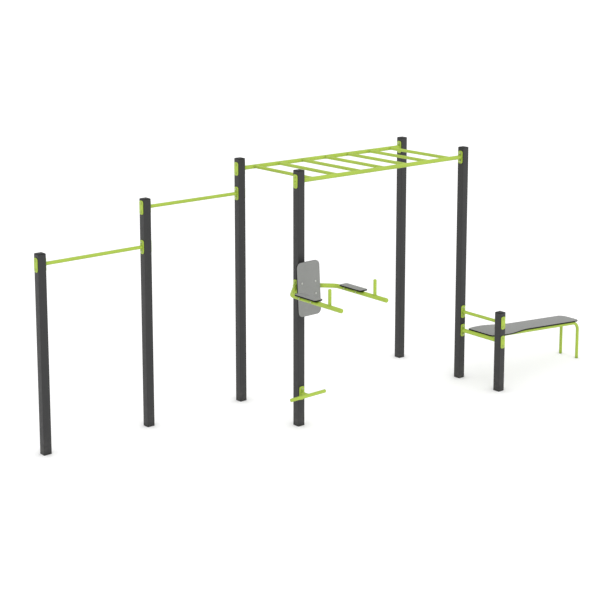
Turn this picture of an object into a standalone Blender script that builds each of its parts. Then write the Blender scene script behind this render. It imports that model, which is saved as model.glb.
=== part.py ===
"""Outdoor fitness station: two pull-up bars, a horizontal ladder, a dip stand and a sit-up bench.

Metres, +Z up. The station stands on seven square posts and two bench legs. X runs along the pull-up
bars and the ladder, and -Y is the side that the dip arms and the bench reach out to.
"""

import math

import bmesh
import bpy
from mathutils import Matrix, Vector

# Gap between pieces that touch, overrun of a cutter, and how deep joined solids sink into each other
GAP = 0.0003
OVERRUN = 0.005
FUSE = 0.0005

# Posts: square tube, the tall ones' height to the top of the cap, and the steps down to the lower ones
POST_SIDE = 0.080
POST_WALL = 0.004
POST_CORNER = 0.006
TALL_HEIGHT = 2.512
HIGH_BAR_POST_STEP = 0.269
LOW_BAR_POST_STEP = 0.361

# Post caps: a pressed-in spigot under a rim with a low dome
CAP_RIM = 0.006
CAP_DOME = 0.004
CAP_EDGE = 0.003
CAP_SHELL = 0.003
CAP_SPIGOT = 0.018
CAP_TOP_SHARE = 0.5

# Layout of the posts, centre to centre
BAY = 1.125
LADDER_LENGTH = 2.250
LADDER_WIDTH = 0.920
BENCH_BAY = 0.565

# How far below its post's top the middle of each tube lies
RAIL_DROP = 0.107
HIGH_BAR_DROP = 0.086
LOW_BAR_DROP = 0.105
ANKLE_BAR_DROP = 0.111

# Heights of what the user sits, stands and leans on, and the ankle bar's rise over the bench bar
BENCH_BAR_HEIGHT = 0.530
ANKLE_BAR_RISE = 0.204
ARM_HEIGHT = 1.388
STEP_HEIGHT = 0.332

# Round tubes
TUBE_WALL = 0.0026
BAR_RADIUS = 0.01685
RAIL_RADIUS = 0.0212
ARM_RADIUS = 0.0212
LEG_RADIUS = 0.01685

# Ladder rungs, and how far the first stands from its post's centre
RUNG_COUNT = 7
RUNG_INSET = 0.1875

# Bolted plates: a flange on a tube's end, or a backing plate on the far side of the post
PLATE_WIDTH = 0.060
PLATE_HEIGHT = 0.134
PLATE_THICKNESS = 0.006
PLATE_CORNER = 0.020
CENTRE_HOLE_RADIUS = 0.005

# Through-bolts with domed heads, and cap nuts that their ends stop in
BOLT_RADIUS = 0.005
BOLT_PITCH = 0.086
BOLT_CLEARANCE = 0.0005
HEAD_RADIUS = 0.010
HEAD_HEIGHT = 0.007
NUT_BORE = 0.003
DOME_SHARES = ((1.00, 0.45), (0.62, 1.00))

# Dip arms: out from the post's sides at an angle, then straight forward
ARM_SPREAD = 0.277
ARM_REACH = 0.922
ARM_BEND = 0.100
ARM_SPLAY = math.radians(45)
ARM_DOME = 0.009

# Upright grips on the arms
GRIP_RADIUS = 0.0155
GRIP_PLACE = 0.765
GRIP_HEIGHT = 0.168
GRIP_DOME = 0.006

# Boards: arm pads, backrest and bench top, with their eased edges
BOARD = 0.0125
BOARD_EDGE = 0.0015
PAD_WIDTH = 0.100
PAD_LENGTH = 0.302
PAD_CORNER = 0.022
PAD_PLACE = 0.468

# Saddles that carry the arm pads, each with a cross bolt through the arm
SADDLE_PLACE = 0.443
SADDLE_PITCH = 0.165
SADDLE_WIDTH = 0.084
SADDLE_LENGTH = 0.036
SADDLE_CORNER = 0.006
SADDLE_PLATE = 0.003
SADDLE_DROP = 0.011
SCREW_RADIUS = 0.004
SCREW_HEAD_RADIUS = 0.0075
SCREW_HEAD_HEIGHT = 0.005

# Backrest, its middle's rise over the arms, its foot leaning forward, and the bracket behind it
BACKREST_WIDTH = 0.280
BACKREST_LENGTH = 0.520
BACKREST_CORNER = 0.034
BACKREST_RISE = 0.003
BACKREST_REACH = 0.1385
BACKREST_LEAN = math.radians(3.6)
BACKREST_BOLTS_ACROSS = 0.167
BACKREST_BOLTS_UP = 0.116
BRACKET_PLATE_HEIGHT = 0.176
BRACKET_BOLT_PITCH = 0.136
BRACKET_FACE_WIDTH = 0.206
BRACKET_FACE_HEIGHT = 0.156
BRACKET_FACE_THICKNESS = 0.006
BRACKET_CHEEK = 0.005
BRACKET_CHEEK_HEIGHT = 0.110
BRACKET_CHEEK_SPREAD = 0.046

# Foot step in front of the dip post
STEP_REACH = 0.140
STEP_LENGTH = 0.436
STEP_DOME = 0.006

# Sit-up bench: a shaped board that slopes down from the bench bar
BENCH_SLOPE = math.radians(4.65)
BENCH_LENGTH = 1.522
BENCH_HEAD_WIDTH = 0.344
BENCH_WIDE = 0.404
BENCH_NARROW = 0.265
BENCH_WIDEST_PLACE = 0.230
BENCH_NARROW_PLACE = 0.640
BENCH_HEAD_ROUND = 0.030
BENCH_FOOT_ROUND = 0.060
BENCH_FOOT_CROWN = 0.009

# Bench rails that bend down into the legs, and the straps between them
BENCH_RAIL_SPREAD = 0.228
BENCH_LEG_REACH = 1.499
BENCH_LEG_BEND = 0.090
STRAP_WIDTH = 0.040
STRAP_THICKNESS = 0.005
STRAP_HEAD_PLACE = 0.330
STRAP_FOOT_PLACE = 1.180
STRAP_LAP_SHARE = 0.6

# Fineness of the round shapes, and the radius up to which a tube counts as thin
THIN_TUBE = 0.018
TUBE_SIDES = 16
THIN_SIDES = 12
BORE_SIDES = 6
BOLT_SIDES = 6
CORNER_STEPS = 2
PLATE_CORNER_STEPS = 2
BOARD_CORNER_STEPS = 3
BEND_STEPS = 4
SMOOTH_ANGLE = math.radians(35)

# What follows from the sizes above
HIGH_BAR_POST_HEIGHT = TALL_HEIGHT - HIGH_BAR_POST_STEP
LOW_BAR_POST_HEIGHT = HIGH_BAR_POST_HEIGHT - LOW_BAR_POST_STEP
RAIL_HEIGHT = TALL_HEIGHT - RAIL_DROP
HIGH_BAR_HEIGHT = HIGH_BAR_POST_HEIGHT - HIGH_BAR_DROP
LOW_BAR_HEIGHT = LOW_BAR_POST_HEIGHT - LOW_BAR_DROP
ANKLE_BAR_HEIGHT = BENCH_BAR_HEIGHT + ANKLE_BAR_RISE
BENCH_POST_HEIGHT = ANKLE_BAR_HEIGHT + ANKLE_BAR_DROP
BACKREST_HEIGHT = ARM_HEIGHT + BACKREST_RISE
SEAT = POST_SIDE / 2 + GAP
FLANGE_FACE = SEAT + PLATE_THICKNESS
RUNG_PITCH = (LADDER_LENGTH - 2 * RUNG_INSET) / (RUNG_COUNT - 1)
DIP_POST = Vector((2 * BAY, -LADDER_WIDTH, 0))
LADDER_END = 2 * BAY + LADDER_LENGTH
BENCH_ALONG = Vector((math.cos(BENCH_SLOPE), 0, -math.sin(BENCH_SLOPE)))
BENCH_UP = Vector((math.sin(BENCH_SLOPE), 0, math.cos(BENCH_SLOPE)))
BENCH_BAR = Vector((LADDER_END, -LADDER_WIDTH - BENCH_BAY / 2, BENCH_BAR_HEIGHT))
BENCH_HEAD = BENCH_BAR + BENCH_UP * (RAIL_RADIUS + GAP)
LEAST_X = -FLANGE_FACE - HEAD_HEIGHT
MOST_X = (BENCH_HEAD + BENCH_UP * BOARD + BENCH_ALONG * BENCH_LENGTH).x
LEAST_Y = -LADDER_WIDTH - ARM_REACH - ARM_DOME
MOST_Y = POST_SIDE / 2


def clear_scene():
    for obj in list(bpy.data.objects):
        bpy.data.objects.remove(obj, do_unlink=True)


def principled(name, colour, roughness, metallic):
    material = bpy.data.materials.new(name)
    material.use_nodes = True
    shader = material.node_tree.nodes["Principled BSDF"]
    shader.inputs["Base Color"].default_value = (*colour, 1)
    shader.inputs["Roughness"].default_value = roughness
    shader.inputs["Metallic"].default_value = metallic
    material.diffuse_color = (*colour, 1)
    return material


# Outlines in X and Y, anticlockwise


def rounded_rectangle(width, height, radius, steps=CORNER_STEPS):
    points = []
    for quarter, (side_x, side_y) in enumerate(((1, 1), (-1, 1), (-1, -1), (1, -1))):
        for step in range(steps + 1):
            turn = (quarter + step / steps) * math.pi / 2
            x = side_x * (width / 2 - radius) + radius * math.cos(turn)
            y = side_y * (height / 2 - radius) + radius * math.sin(turn)
            points.append((x, y))
    return points


def tube_sides(radius):
    return THIN_SIDES if radius <= THIN_TUBE else TUBE_SIDES


def circle(radius, sides):
    """A circle's polygon, with a flat at each side of the axes."""
    turns = [(step + 1 / 2) * 2 * math.pi / sides for step in range(sides)]
    return [(radius * math.cos(turn), radius * math.sin(turn)) for turn in turns]


def pair(centre, pitch):
    return (centre - pitch / 2, centre + pitch / 2)


# Solids, each in its own local frame


def loft(rings):
    """A closed solid through rings of points, with a face across the first and the last."""
    solid = bmesh.new()
    loops = [[solid.verts.new(point) for point in ring] for ring in rings]
    count = len(loops[0])
    for lower, upper in zip(loops, loops[1:]):
        for index in range(count):
            after = (index + 1) % count
            solid.faces.new((lower[index], lower[after], upper[after], upper[index]))
    solid.faces.new(list(reversed(loops[0])))
    solid.faces.new(loops[-1])
    bmesh.ops.recalc_face_normals(solid, faces=solid.faces)
    return solid


def stack(outlines):
    """A loft upward through (outline, height) pairs."""
    return loft([[(x, y, height) for x, y in outline] for outline, height in outlines])


def prism(outline, low, high):
    return stack([(outline, low), (outline, high)])


def block(low, high):
    outline = [(low[0], low[1]), (high[0], low[1]), (high[0], high[1]), (low[0], high[1])]
    return prism(outline, low[2], high[2])


def rod(radius, low, high, sides=None):
    return prism(circle(radius, sides or tube_sides(radius)), low, high)


def board(outline_at):
    """A board on Z = 0 with eased edges. The outline is a function of how far it is drawn in."""
    return stack([
        (outline_at(BOARD_EDGE), 0),
        (outline_at(0), BOARD_EDGE),
        (outline_at(0), BOARD - BOARD_EDGE),
        (outline_at(BOARD_EDGE), BOARD),
    ])


def dome_rings(radius, height, base, sides):
    return [(circle(radius * across, sides), base + height * up) for across, up in DOME_SHARES]


def bolt(head_radius, head_height, radius, length):
    """A domed bolt whose head stands on Z = 0 and whose shank reaches down to its length."""
    rings = [(radius, -length), (radius, -FUSE), (head_radius, -FUSE)]
    outlines = [(circle(across, BOLT_SIDES), height) for across, height in rings]
    return stack(outlines + dome_rings(head_radius, head_height, 0, BOLT_SIDES))


def cap_nut(radius, height):
    return stack([(circle(radius, BOLT_SIDES), -FUSE)] + dome_rings(radius, height, 0, BOLT_SIDES))


def domed_rod(radius, low, high, dome):
    """An upright rod whose top is domed, the dome within its height."""
    sides = tube_sides(radius)
    return stack([(circle(radius, sides), low)] + dome_rings(radius, dome, high - dome, sides))


def rounded_path(corners, radius):
    """A path through the corners, each inner one rounded to the bend's radius at the tube's middle."""
    path = [corners[0]]
    for before, corner, after in zip(corners, corners[1:], corners[2:]):
        arriving = (corner - before).normalized()
        leaving = (after - corner).normalized()
        turn = arriving.angle(leaving)
        start = corner - arriving * radius * math.tan(turn / 2)
        inward = (leaving - arriving * leaving.dot(arriving)).normalized()
        for step in range(BEND_STEPS + 1):
            part = turn * step / BEND_STEPS
            path.append(start + arriving * radius * math.sin(part) + inward * radius * (1 - math.cos(part)))
    path.append(corners[-1])
    return path


def sweep(path, upright, radius, sides=None, start_face=None, dome=0):
    """A round rod along a flat path, mitred at each point, with upright square to the path's plane.

    The first ring can be cut along a slanting face, and the last can carry a dome.
    """
    sides = sides or tube_sides(radius)
    rings = []
    for index, point in enumerate(path):
        before = (point - path[index - 1]).normalized() if index else None
        after = (path[index + 1] - point).normalized() if index + 1 < len(path) else None
        tangent = ((before or after) + (after or before)).normalized()
        side = upright.cross(tangent).normalized()
        stretch = 1 / tangent.dot(after or before)
        ring = [point + side * x * stretch + upright * y for x, y in circle(radius, sides)]
        if start_face is not None and index == 0:
            ring = [p - tangent * (p - point).dot(start_face) / tangent.dot(start_face) for p in ring]
        rings.append(ring)
    if dome:
        for outline, height in dome_rings(radius, dome, 0, sides):
            rings.append([path[-1] + tangent * height + side * x + upright * y for x, y in outline])
    return loft(rings)


# Placing the solids


def moved(solid, matrix):
    bmesh.ops.transform(solid, matrix=matrix, verts=solid.verts)
    return solid


def shifted(solid, x=0, y=0, z=0):
    return moved(solid, Matrix.Translation((x, y, z)))


def turned(solid, angle, axis):
    return moved(solid, Matrix.Rotation(angle, 4, axis))


def along_x(solid):
    """Lays a solid made along Z along X instead, with its own Y upright."""
    return moved(solid, Matrix(((0, 0, 1), (1, 0, 0), (0, 1, 0))).to_4x4())


def along_y(solid):
    """Lays a solid made along Z along Y instead, with its own Y upright."""
    return moved(solid, Matrix(((-1, 0, 0), (0, 0, 1), (0, 1, 0))).to_4x4())


# Joining and cutting


def helper(solid, collection):
    mesh = bpy.data.meshes.new("helper")
    solid.to_mesh(mesh)
    solid.free()
    obj = bpy.data.objects.new("helper", mesh)
    collection.objects.link(obj)
    return obj


def combine(body, solids, operation):
    """Joins the solids to the body's mesh, or cuts them out of it."""
    if not solids:
        return
    operands = bpy.data.collections.new("operands")
    bpy.context.scene.collection.children.link(operands)
    for solid in solids:
        helper(solid, operands)
    modifier = body.modifiers.new(operation.lower(), "BOOLEAN")
    modifier.operation = operation
    modifier.operand_type = "COLLECTION"
    modifier.collection = operands
    modifier.solver = "EXACT"
    graph = bpy.context.evaluated_depsgraph_get()
    result = bpy.data.meshes.new_from_object(body.evaluated_get(graph))
    body.modifiers.remove(modifier)
    body.data = result
    for obj in list(operands.objects):
        bpy.data.objects.remove(obj, do_unlink=True)
    bpy.data.collections.remove(operands)


def piece(name, material, solids, cuts=(), place=(0, 0, 0), rotation=(0, 0, 0)):
    """One named sub-part: its solids joined, less the cuts, at its place on the station."""
    body = helper(solids[0], bpy.context.scene.collection)
    body.name = name
    combine(body, solids[1:], "UNION")
    combine(body, cuts, "DIFFERENCE")
    body.data.name = name
    body.data.materials.clear()
    body.data.materials.append(material)
    body.data.shade_smooth()
    body.data.set_sharp_from_angle(angle=SMOOTH_ANGLE)
    body.location = place
    body.rotation_euler = rotation
    body.parent = station
    return body


def copy_of(original, name, place, rotation=(0, 0, 0)):
    """The same sub-part again at another place, sharing its mesh."""
    body = bpy.data.objects.new(name, original.data)
    bpy.context.scene.collection.objects.link(body)
    body.location = place
    body.rotation_euler = rotation
    body.parent = station
    return body


# Posts and caps


def post(name, height, bolts_along_x, bolts_along_y, place):
    """A hollow square post drilled for its bolts, which are given as (middle height, pitch)."""
    top = height - CAP_DOME - CAP_RIM - GAP
    outer = prism(rounded_rectangle(POST_SIDE, POST_SIDE, POST_CORNER), 0, top)
    inner_side = POST_SIDE - 2 * POST_WALL
    inner = rounded_rectangle(inner_side, inner_side, POST_CORNER - POST_WALL)
    cuts = [prism(inner, -OVERRUN, top + OVERRUN)]
    reach = POST_SIDE / 2 + OVERRUN
    for patterns, laid in ((bolts_along_x, along_x), (bolts_along_y, along_y)):
        for middle, pitch in patterns:
            for z in pair(middle, pitch):
                drill = rod(BOLT_RADIUS + BOLT_CLEARANCE, -reach, reach, BOLT_SIDES)
                cuts.append(shifted(laid(drill), z=z))
    return piece(name, anthracite, [outer], cuts, place)


def cap_solid():
    """From the hollow underside down the spigot, out under the rim and up over the dome."""
    spigot = POST_SIDE - 2 * (POST_WALL + GAP)
    inside = spigot - 2 * CAP_SHELL
    outlines = [(inside, 0), (inside, -CAP_SPIGOT), (spigot, -CAP_SPIGOT), (spigot, 0), (POST_SIDE, 0)]
    outlines += [(POST_SIDE, CAP_RIM - CAP_EDGE), (POST_SIDE - 2 * CAP_EDGE, CAP_RIM)]
    outlines.append((POST_SIDE * CAP_TOP_SHARE, CAP_RIM + CAP_DOME))
    return stack([(rounded_rectangle(side, side, POST_CORNER), height) for side, height in outlines])


# Bolted joints


def plate(height=PLATE_HEIGHT):
    """A plate lying on Z = 0 with its long side along Y."""
    outline = rounded_rectangle(PLATE_WIDTH, height, PLATE_CORNER, PLATE_CORNER_STEPS)
    return prism(outline, 0, PLATE_THICKNESS)


def centre_hole():
    return rod(CENTRE_HOLE_RADIUS, -OVERRUN, PLATE_THICKNESS + OVERRUN, BORE_SIDES)


def flange(height=PLATE_HEIGHT, pitch=BOLT_PITCH):
    """A plate with cap nuts, and the bores that take the bolts' ends from its underside."""
    solids = [plate(height)]
    cuts = [centre_hole()]
    for y in pair(0, pitch):
        solids.append(shifted(cap_nut(HEAD_RADIUS, HEAD_HEIGHT), y=y, z=PLATE_THICKNESS))
        bore = rod(BOLT_RADIUS + BOLT_CLEARANCE, -OVERRUN, PLATE_THICKNESS + NUT_BORE, BOLT_SIDES)
        cuts.append(shifted(bore, y=y))
    return solids, cuts


def bolted_plate(height=PLATE_HEIGHT, pitch=BOLT_PITCH):
    """A plate with its two bolts, which reach down through the post into the flange opposite."""
    length = 2 * FLANGE_FACE + NUT_BORE - GAP
    solids = [plate(height)]
    for y in pair(0, pitch):
        screw = bolt(HEAD_RADIUS, HEAD_HEIGHT, BOLT_RADIUS, length)
        solids.append(shifted(screw, y=y, z=PLATE_THICKNESS))
    return solids


def seated(solids):
    """Stands solids made on Z = 0 against the post's side, facing out along X."""
    return [shifted(along_x(solid), x=SEAT) for solid in solids]


def backing_plate(name, place, facing, height=PLATE_HEIGHT, pitch=BOLT_PITCH, holed=False):
    cuts = seated([centre_hole()]) if holed else ()
    return piece(name, lime, seated(bolted_plate(height, pitch)), cuts, place, (0, 0, facing))


def flanged_bar(name, radius, span, place, facing=0):
    """A tube between two posts, along its own X, with a flange at each end."""
    half = span / 2 - SEAT
    face = half - PLATE_THICKNESS
    solids = [along_x(rod(radius, -face - FUSE, face + FUSE))]
    cuts = [along_x(rod(radius - TUBE_WALL, -face, face, BORE_SIDES))]
    for end in (0, math.pi):
        for made, gathered in zip(flange(), (solids, cuts)):
            gathered += [turned(shifted(along_x(solid), x=-half), end, "Z") for solid in made]
    return piece(name, lime, solids, cuts, place, (0, 0, facing))


# Ladder


def rung_parts():
    """A rung along Y, and the cuts that open it and shape its ends to the rails."""
    half = LADDER_WIDTH / 2
    reach = RAIL_RADIUS + OVERRUN
    cuts = [along_y(rod(BAR_RADIUS - TUBE_WALL, -half, half, BORE_SIDES))]
    cuts += [shifted(along_x(rod(RAIL_RADIUS + GAP, -reach, reach)), y=y) for y in (-half, half)]
    return [along_y(rod(BAR_RADIUS, -half, half))], cuts


# Dip stand


def arm_path(side, end):
    """The middle line of a dip arm from its flange's face to an end."""
    start = Vector((side * FLANGE_FACE, 0, 0))
    corner = Vector((side * ARM_SPREAD, -(ARM_SPREAD - FLANGE_FACE) / math.tan(ARM_SPLAY), 0))
    return rounded_path([start, corner, Vector((side * ARM_SPREAD, -end, 0))], ARM_BEND)


def dip_arm(name, side, mate, mate_cuts):
    """An arm whose tube leaves its flange at an angle, drilled across for the saddles' bolts."""
    upright = Vector((0, 0, 1))
    face = Vector((side, 0, 0))
    path = arm_path(side, ARM_REACH)
    leaving = (path[1] - path[0]).normalized()
    tube = sweep([path[0] - leaving * FUSE] + path[1:], upright, ARM_RADIUS, None, face, ARM_DOME)
    bore = sweep(arm_path(side, ARM_REACH - TUBE_WALL), upright, ARM_RADIUS - TUBE_WALL, BORE_SIDES, face)
    end = 0 if side > 0 else math.pi
    solids = [turned(solid, end, "Z") for solid in seated(mate)]
    cuts = [turned(solid, end, "Z") for solid in seated(mate_cuts)]
    reach = ARM_RADIUS + OVERRUN
    for place in pair(SADDLE_PLACE, SADDLE_PITCH):
        drill = along_x(rod(SCREW_RADIUS + BOLT_CLEARANCE, -reach, reach, BOLT_SIDES))
        cuts.append(shifted(drill, x=side * ARM_SPREAD, y=-place))
    place = DIP_POST + Vector((0, 0, ARM_HEIGHT))
    return piece(name, lime, [tube] + solids, [bore] + cuts, place)


def grip_parts():
    """An upright grip whose foot is shaped to the arm."""
    top = GRIP_HEIGHT - GRIP_DOME - TUBE_WALL
    reach = GRIP_RADIUS + OVERRUN
    cuts = [rod(GRIP_RADIUS - TUBE_WALL, -OVERRUN, top, BORE_SIDES)]
    cuts.append(along_y(rod(ARM_RADIUS + GAP, -reach, reach)))
    return [domed_rod(GRIP_RADIUS, 0, GRIP_HEIGHT, GRIP_DOME)], cuts


def saddle_solids():
    """A folded saddle over the arm and the cross bolt that holds it there."""
    seat = ARM_RADIUS + GAP
    outside = seat + SADDLE_PLATE
    half = SADDLE_LENGTH / 2
    top = rounded_rectangle(SADDLE_WIDTH, SADDLE_LENGTH, SADDLE_CORNER)
    solids = [prism(top, seat, outside)]
    for side in (-1, 1):
        low, high = sorted((side * seat, side * outside))
        solids.append(block((low, -half, -SADDLE_DROP), (high, half, seat + FUSE)))
    across = along_x(bolt(SCREW_HEAD_RADIUS, SCREW_HEAD_HEIGHT, SCREW_RADIUS, 2 * outside))
    nut = turned(along_x(cap_nut(SCREW_HEAD_RADIUS, SCREW_HEAD_HEIGHT)), math.pi, "Z")
    solids += [shifted(across, x=outside), shifted(nut, x=-outside)]
    return solids


def rounded_board(width, length, corner):
    """A rectangular board with round corners."""
    def outline(inset):
        return rounded_rectangle(width - 2 * inset, length - 2 * inset, corner - inset, BOARD_CORNER_STEPS)

    return board(outline)


def backrest_solids():
    """The backrest standing on its own Z = 0, with four bolts whose shanks reach out behind it."""
    length = BOARD + BRACKET_FACE_THICKNESS + NUT_BORE
    solids = [rounded_board(BACKREST_WIDTH, BACKREST_LENGTH, BACKREST_CORNER)]
    for x in pair(0, BACKREST_BOLTS_ACROSS):
        for y in pair(0, BACKREST_BOLTS_UP):
            solids.append(shifted(bolt(HEAD_RADIUS, HEAD_HEIGHT, BOLT_RADIUS, length), x, y, BOARD))
    return solids


def bracket_parts():
    """From the post's plate, two cheeks reach out along X to a leaning face plate with cap nuts."""
    made, made_cuts = flange(BRACKET_PLATE_HEIGHT, BRACKET_BOLT_PITCH)
    solids = seated(made)
    cuts = seated(made_cuts)

    def leaning(solid):
        return shifted(turned(along_x(solid), -BACKREST_LEAN, "Y"), x=BACKREST_REACH)

    back = -GAP - BRACKET_FACE_THICKNESS
    face = rounded_rectangle(BRACKET_FACE_WIDTH, BRACKET_FACE_HEIGHT, PLATE_CORNER, PLATE_CORNER_STEPS)
    solids.append(leaning(prism(face, back, -GAP)))
    for x in pair(0, BACKREST_BOLTS_ACROSS):
        for y in pair(0, BACKREST_BOLTS_UP):
            nut = turned(cap_nut(HEAD_RADIUS, HEAD_HEIGHT), math.pi, "X")
            bore = rod(BOLT_RADIUS + BOLT_CLEARANCE, back - NUT_BORE, OVERRUN, BOLT_SIDES)
            solids.append(leaning(shifted(nut, x, y, back)))
            cuts.append(leaning(shifted(bore, x, y)))
    low = FLANGE_FACE - FUSE
    slant = math.tan(BACKREST_LEAN) * BRACKET_CHEEK_HEIGHT / 2
    high = BACKREST_REACH + (back + FUSE) / math.cos(BACKREST_LEAN)
    half = BRACKET_CHEEK_HEIGHT / 2
    cheek = [(low, -half), (high + slant, -half), (high - slant, half), (low, half)]
    for y in pair(0, BRACKET_CHEEK_SPREAD):
        near, far = pair(y, BRACKET_CHEEK)
        solids.append(loft([[(x, side, z) for x, z in cheek] for side in (near, far)]))
    return solids, cuts


def step_parts():
    """The step's flange and stub along X, and its cross bar with domed ends."""
    made, made_cuts = flange()
    solids = seated(made)
    cuts = seated(made_cuts)
    half = STEP_LENGTH / 2
    inner = BAR_RADIUS - TUBE_WALL
    inner_half = half - STEP_DOME - TUBE_WALL
    dome = dome_rings(BAR_RADIUS, STEP_DOME, half - STEP_DOME, tube_sides(BAR_RADIUS))
    mirrored = [(outline, -height) for outline, height in reversed(dome)]
    bar = shifted(along_y(stack(mirrored + dome)), x=STEP_REACH)
    solids += [along_x(rod(BAR_RADIUS, FLANGE_FACE - FUSE, STEP_REACH)), bar]
    cuts.append(along_x(rod(inner, FLANGE_FACE, STEP_REACH, BORE_SIDES)))
    cuts.append(shifted(along_y(rod(inner, -inner_half, inner_half, BORE_SIDES)), x=STEP_REACH))
    return solids, cuts


# Sit-up bench


def eased(distance, radius):
    """How far a round corner draws an edge in, at a distance from the corner's end."""
    if distance >= radius:
        return 0
    return radius - math.sqrt(radius ** 2 - (radius - distance) ** 2)


def bench_half_width(place):
    """Half the bench's width at a place along it, before its corners are rounded."""
    if place < BENCH_WIDEST_PLACE:
        swell = math.sin(math.pi / 2 * place / BENCH_WIDEST_PLACE)
        return (BENCH_HEAD_WIDTH + (BENCH_WIDE - BENCH_HEAD_WIDTH) * swell) / 2
    if place > BENCH_NARROW_PLACE:
        return BENCH_NARROW / 2
    fall = (place - BENCH_WIDEST_PLACE) / (BENCH_NARROW_PLACE - BENCH_WIDEST_PLACE)
    return (BENCH_NARROW + (BENCH_WIDE - BENCH_NARROW) * (1 + math.cos(math.pi * fall)) / 2) / 2


def bench_outline(inset):
    """The bench's outline along X from its head, square across the head and crowned at the foot."""
    head = BENCH_HEAD_ROUND
    shoulder = BENCH_LENGTH - BENCH_FOOT_CROWN
    foot = shoulder - BENCH_FOOT_ROUND
    places = [head * (1 - math.cos(math.pi / 2 * step / 3)) for step in range(3)]
    places += [head + (BENCH_WIDEST_PLACE - head) * step / 3 for step in range(3)]
    run = BENCH_NARROW_PLACE - BENCH_WIDEST_PLACE
    places += [BENCH_WIDEST_PLACE + run * step / 8 for step in range(9)]
    places += [foot + BENCH_FOOT_ROUND * math.sin(math.pi / 2 * step / 5) for step in range(6)]
    side = []
    for place in places:
        half = bench_half_width(place)
        half -= eased(place, head) + eased(shoulder - place, BENCH_FOOT_ROUND)
        side.append((max(inset, min(place, BENCH_LENGTH - inset)), half - inset))
    end_half = side[-1][1]
    side.append((shoulder + BENCH_FOOT_CROWN * 3 / 4 - inset, end_half / 2))
    tip = [(BENCH_LENGTH - inset, 0)]
    return [(x, -y) for x, y in side] + tip + list(reversed(side))


def bench_leg_parts():
    """A rail under the bench that bends down into a leg, its head shaped to the bench bar."""
    lift = RAIL_RADIUS - LEG_RADIUS
    bar = Vector((0, 0, BENCH_BAR_HEIGHT))
    head = bar + BENCH_UP * lift
    corner = head + BENCH_ALONG * (BENCH_LEG_REACH - head.x) / BENCH_ALONG.x
    upright = Vector((0, 1, 0))
    path = rounded_path([head + BENCH_ALONG * lift, corner, Vector((BENCH_LEG_REACH, 0, 0))], BENCH_LEG_BEND)
    below = Vector((BENCH_LEG_REACH, 0, -OVERRUN))
    inner_path = rounded_path([head, corner, below], BENCH_LEG_BEND)
    reach = LEG_RADIUS + OVERRUN
    cope = shifted(along_y(rod(RAIL_RADIUS + GAP, -reach, reach)), z=BENCH_BAR_HEIGHT)
    bore = sweep(inner_path, upright, LEG_RADIUS - TUBE_WALL, BORE_SIDES)
    return [sweep(path, upright, LEG_RADIUS)], [bore, cope]


def strap_parts():
    """A strap between the two bench rails, its ends shaped to them."""
    half_width = STRAP_WIDTH / 2
    half = BENCH_RAIL_SPREAD / 2 - LEG_RADIUS * STRAP_LAP_SHARE
    solids = [block((-half_width, -half, 0), (half_width, half, STRAP_THICKNESS))]
    reach = half_width + OVERRUN
    cuts = []
    for y in pair(0, BENCH_RAIL_SPREAD):
        rail = along_x(rod(LEG_RADIUS + GAP, -reach, reach))
        cuts.append(shifted(rail, y=y, z=STRAP_THICKNESS - LEG_RADIUS))
    return solids, cuts


# Building the station


def build_posts():
    low_bar = (LOW_BAR_HEIGHT, BOLT_PITCH)
    high_bar = (HIGH_BAR_HEIGHT, BOLT_PITCH)
    rail = (RAIL_HEIGHT, BOLT_PITCH)
    arm = (ARM_HEIGHT, BOLT_PITCH)
    bench = [(ANKLE_BAR_HEIGHT, BOLT_PITCH), (BENCH_BAR_HEIGHT, BOLT_PITCH)]
    dip = [(BACKREST_HEIGHT, BRACKET_BOLT_PITCH), (STEP_HEIGHT, BOLT_PITCH)]
    front = -LADDER_WIDTH
    layout = [
        (LOW_BAR_POST_HEIGHT, [low_bar], [], (0, 0, 0)),
        (HIGH_BAR_POST_HEIGHT, [low_bar, high_bar], [], (BAY, 0, 0)),
        (TALL_HEIGHT, [high_bar, rail], [], (2 * BAY, 0, 0)),
        (TALL_HEIGHT, [rail, arm], dip, (2 * BAY, front, 0)),
        (TALL_HEIGHT, [rail], [], (LADDER_END, 0, 0)),
        (TALL_HEIGHT, [rail], bench, (LADDER_END, front, 0)),
        (BENCH_POST_HEIGHT, [], bench, (LADDER_END, front - BENCH_BAY, 0)),
    ]
    first_cap = None
    for number, (height, along_x_bolts, along_y_bolts, place) in enumerate(layout, 1):
        post(f"post_{number}", height, along_x_bolts, along_y_bolts, place)
        seat = (place[0], place[1], height - CAP_DOME - CAP_RIM)
        if first_cap is None:
            first_cap = piece(f"post_cap_{number}", black, [cap_solid()], (), seat)
        else:
            copy_of(first_cap, f"post_cap_{number}", seat)


def build_bars():
    """The pull-up bars, the ladder's rails and the two bars across the bench's head."""
    front = -LADDER_WIDTH
    ladder_middle = 2 * BAY + LADDER_LENGTH / 2
    low = (BAY / 2, 0, LOW_BAR_HEIGHT)
    high = (BAY + BAY / 2, 0, HIGH_BAR_HEIGHT)
    low_bar = flanged_bar("pull_up_bar_low", BAR_RADIUS, BAY, low)
    copy_of(low_bar, "pull_up_bar_high", high)
    rear_rail = flanged_bar("ladder_rail_rear", RAIL_RADIUS, LADDER_LENGTH, (ladder_middle, 0, RAIL_HEIGHT))
    copy_of(rear_rail, "ladder_rail_front", (ladder_middle, front, RAIL_HEIGHT))
    crosswise = math.pi / 2
    ankle = (LADDER_END, BENCH_BAR.y, ANKLE_BAR_HEIGHT)
    flanged_bar("ankle_bar", BAR_RADIUS, BENCH_BAY, ankle, crosswise)
    flanged_bar("bench_bar", RAIL_RADIUS, BENCH_BAY, BENCH_BAR, crosswise)


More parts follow.
